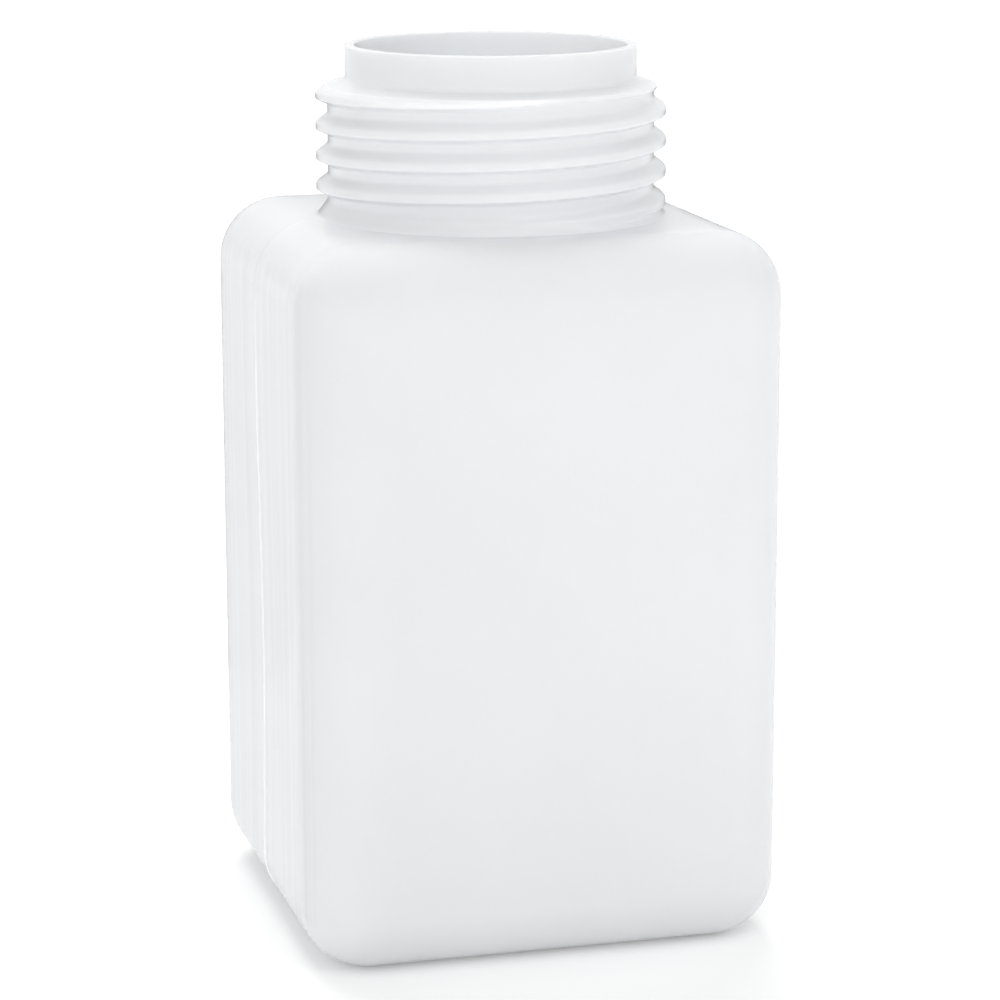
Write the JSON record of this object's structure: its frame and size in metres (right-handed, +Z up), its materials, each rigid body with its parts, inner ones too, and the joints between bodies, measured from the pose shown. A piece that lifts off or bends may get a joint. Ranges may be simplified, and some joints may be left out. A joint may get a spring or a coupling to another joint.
{
  "type": "square wide-mouth bottle",
  "caption": "Blow-moulded square bottle with rounded corners, a recessed foot and a wide threaded mouth.",
  "frame": {"origin": "centre of the foot, on the surface that the bottle stands on", "axes": "+Z up out of the mouth, +X and +Y square to the flat walls; the mould parts on the XZ plane"},
  "size_m": [0.0904, 0.09, 0.164],
  "materials": {
    "natural_polyethylene": "satin blow-moulded high-density polyethylene, natural milky white"
  },
  "bodies": {
    "root": {"bottle": "natural_polyethylene"}
  },
  "joints": []
}
